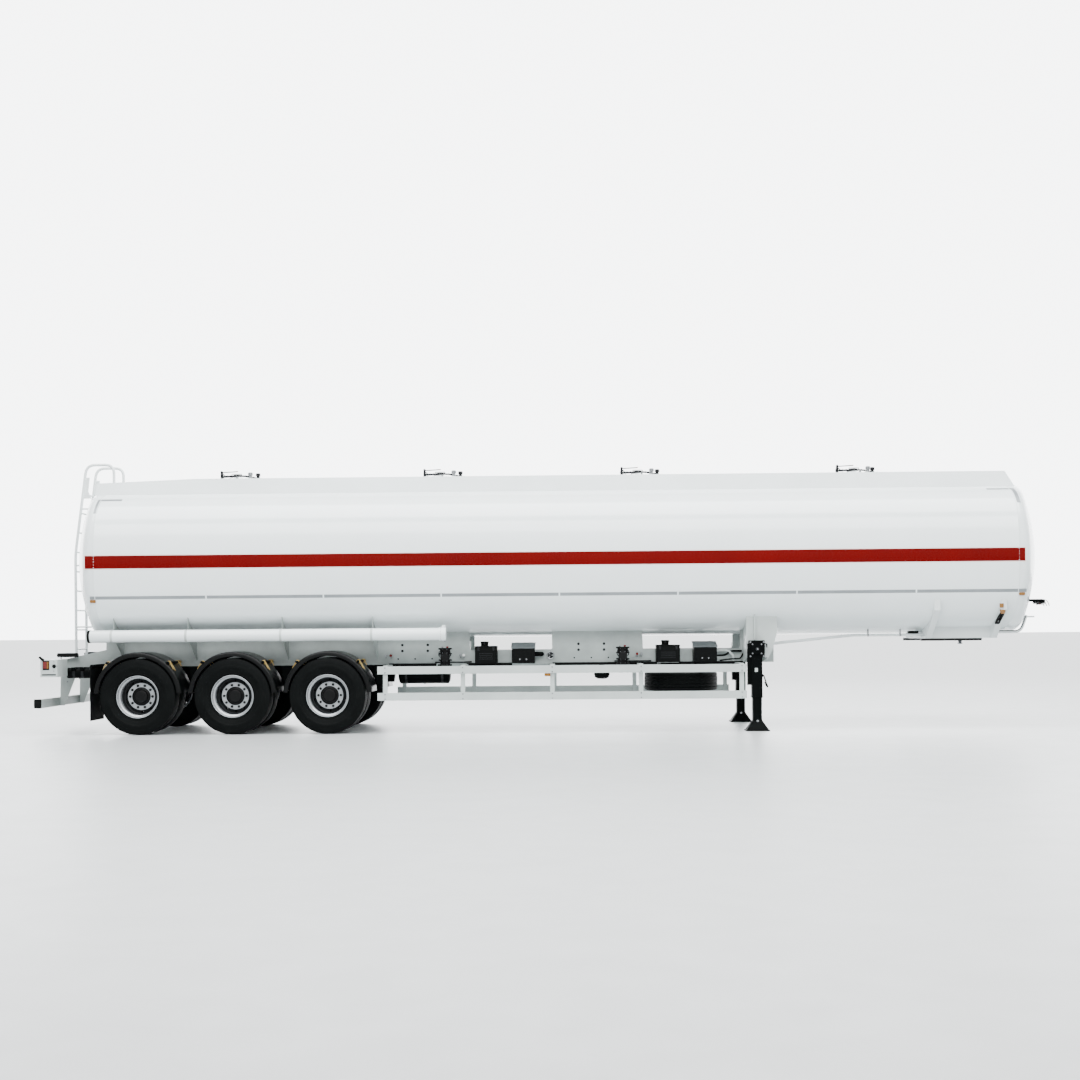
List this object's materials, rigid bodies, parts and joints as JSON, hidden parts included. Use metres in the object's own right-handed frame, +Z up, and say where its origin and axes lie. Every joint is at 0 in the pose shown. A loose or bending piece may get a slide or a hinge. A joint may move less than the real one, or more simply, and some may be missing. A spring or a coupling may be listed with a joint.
{
  "type": "tank trailer",
  "caption": "Three-axle semi-trailer with a long rounded tank, top manholes, twin wheels, side guards, a hose tube, a rear ladder and landing legs",
  "frame": {"origin": "ground level under the middle of the trailer's bounding box", "axes": "+X forward to the kingpin end, +Y to the trailer's left side, +Z up"},
  "size_m": [14.15, 2.5, 3.85],
  "materials": {
    "amber_lens": "gloss",
    "bare_steel": "bare",
    "black_paint": "satin",
    "black_plastic": "matte",
    "grey_paint": "satin",
    "lid_metal": "satin",
    "red_lens": "gloss",
    "tread_plate": "satin",
    "tyre": "matte",
    "wheel_paint": "satin",
    "white_paint": "gloss"
  },
  "bodies": {
    "frame": {"air_tanks": "black_paint", "axles": "black_paint", "chassis": "white_paint", "coamings": "white_paint", "conduit": "white_paint", "coupler": "white_paint", "couplings": "black_paint", "drain_boxes": "black_paint", "gussets": "white_paint", "hose_tube": "white_paint", "kingpin": "bare_steel", "ladder": "white_paint", "landing_gear": "black_paint", "leg_support": "white_paint", "manhole_neck_1": "lid_metal", "manhole_neck_2": "lid_metal", "manhole_neck_3": "lid_metal", "manhole_neck_4": "lid_metal", "mudguards": "black_plastic", "rear_beam": "white_paint", "rear_lamps": "red_lens", "rub_strips": "black_paint", "side_guard_left": "white_paint", "side_guard_right": "white_paint", "side_lamps": "amber_lens", "spare_carrier": "black_paint", "spare_rim": "wheel_paint", "spare_tyre": "tyre", "suspension": "black_paint", "tank": "white_paint", "toolboxes": "black_paint", "underride_guard": "white_paint", "valves": "black_paint", "walkway": "tread_plate"},
    "axle_1_right_wheels": {"tyres_1_right": "tyre", "wheel_1_right": "wheel_paint"},
    "axle_1_left_wheels": {"tyres_1_left": "tyre", "wheel_1_left": "wheel_paint"},
    "axle_2_right_wheels": {"tyres_2_right": "tyre", "wheel_2_right": "wheel_paint"},
    "axle_2_left_wheels": {"tyres_2_left": "tyre", "wheel_2_left": "wheel_paint"},
    "axle_3_right_wheels": {"tyres_3_right": "tyre", "wheel_3_right": "wheel_paint"},
    "axle_3_left_wheels": {"tyres_3_left": "tyre", "wheel_3_left": "wheel_paint"},
    "manhole_1": {"manhole_lid_1": "lid_metal"},
    "manhole_2": {"manhole_lid_2": "lid_metal"},
    "manhole_3": {"manhole_lid_3": "lid_metal"},
    "manhole_4": {"manhole_lid_4": "lid_metal"},
    "tube_cap": {"tube_cap": "white_paint"},
    "toolbox_door_1": {"toolbox_lid_1": "grey_paint"},
    "toolbox_door_2": {"toolbox_lid_2": "grey_paint"}
  },
  "joints": [
    {"name": "axle_1_right_spin", "type": "hinge", "parent": "frame", "child": "axle_1_right_wheels", "pos_m": [-5.64, -0.94, 0.525], "axis": [0, 1, 0], "continuous": true},
    {"name": "axle_1_left_spin", "type": "hinge", "parent": "frame", "child": "axle_1_left_wheels", "pos_m": [-5.64, 0.94, 0.525], "axis": [0, 1, 0], "continuous": true},
    {"name": "axle_2_right_spin", "type": "hinge", "parent": "frame", "child": "axle_2_right_wheels", "pos_m": [-4.33, -0.94, 0.525], "axis": [0, 1, 0], "continuous": true},
    {"name": "axle_2_left_spin", "type": "hinge", "parent": "frame", "child": "axle_2_left_wheels", "pos_m": [-4.33, 0.94, 0.525], "axis": [0, 1, 0], "continuous": true},
    {"name": "axle_3_right_spin", "type": "hinge", "parent": "frame", "child": "axle_3_right_wheels", "pos_m": [-3.02, -0.94, 0.525], "axis": [0, 1, 0], "continuous": true},
    {"name": "axle_3_left_spin", "type": "hinge", "parent": "frame", "child": "axle_3_left_wheels", "pos_m": [-3.02, 0.94, 0.525], "axis": [0, 1, 0], "continuous": true},
    {"name": "manhole_1_hinge", "type": "hinge", "parent": "frame", "child": "manhole_1", "pos_m": [-4.775, 0, 3.6115], "axis": [0, -1, 0], "range_deg": [0, 100]},
    {"name": "manhole_2_hinge", "type": "hinge", "parent": "frame", "child": "manhole_2", "pos_m": [-1.825, 0, 3.6115], "axis": [0, -1, 0], "range_deg": [0, 100]},
    {"name": "manhole_3_hinge", "type": "hinge", "parent": "frame", "child": "manhole_3", "pos_m": [1.025, 0, 3.6115], "axis": [0, -1, 0], "range_deg": [0, 100]},
    {"name": "manhole_4_hinge", "type": "hinge", "parent": "frame", "child": "manhole_4", "pos_m": [4.125, 0, 3.6115], "axis": [0, -1, 0], "range_deg": [0, 100]},
    {"name": "tube_cap_hinge", "type": "hinge", "parent": "frame", "child": "tube_cap", "pos_m": [-1.4117, -1.095, 1.4675], "axis": [0, -1, 0], "range_deg": [0, 90]},
    {"name": "toolbox_1_hinge", "type": "hinge", "parent": "frame", "child": "toolbox_door_1", "pos_m": [-0.345, -0.5368, 1.2223], "axis": [-1, 0, 0], "range_deg": [0, 50]},
    {"name": "toolbox_2_hinge", "type": "hinge", "parent": "frame", "child": "toolbox_door_2", "pos_m": [2.19, -0.5368, 1.2223], "axis": [-1, 0, 0], "range_deg": [0, 50]}
  ]
}
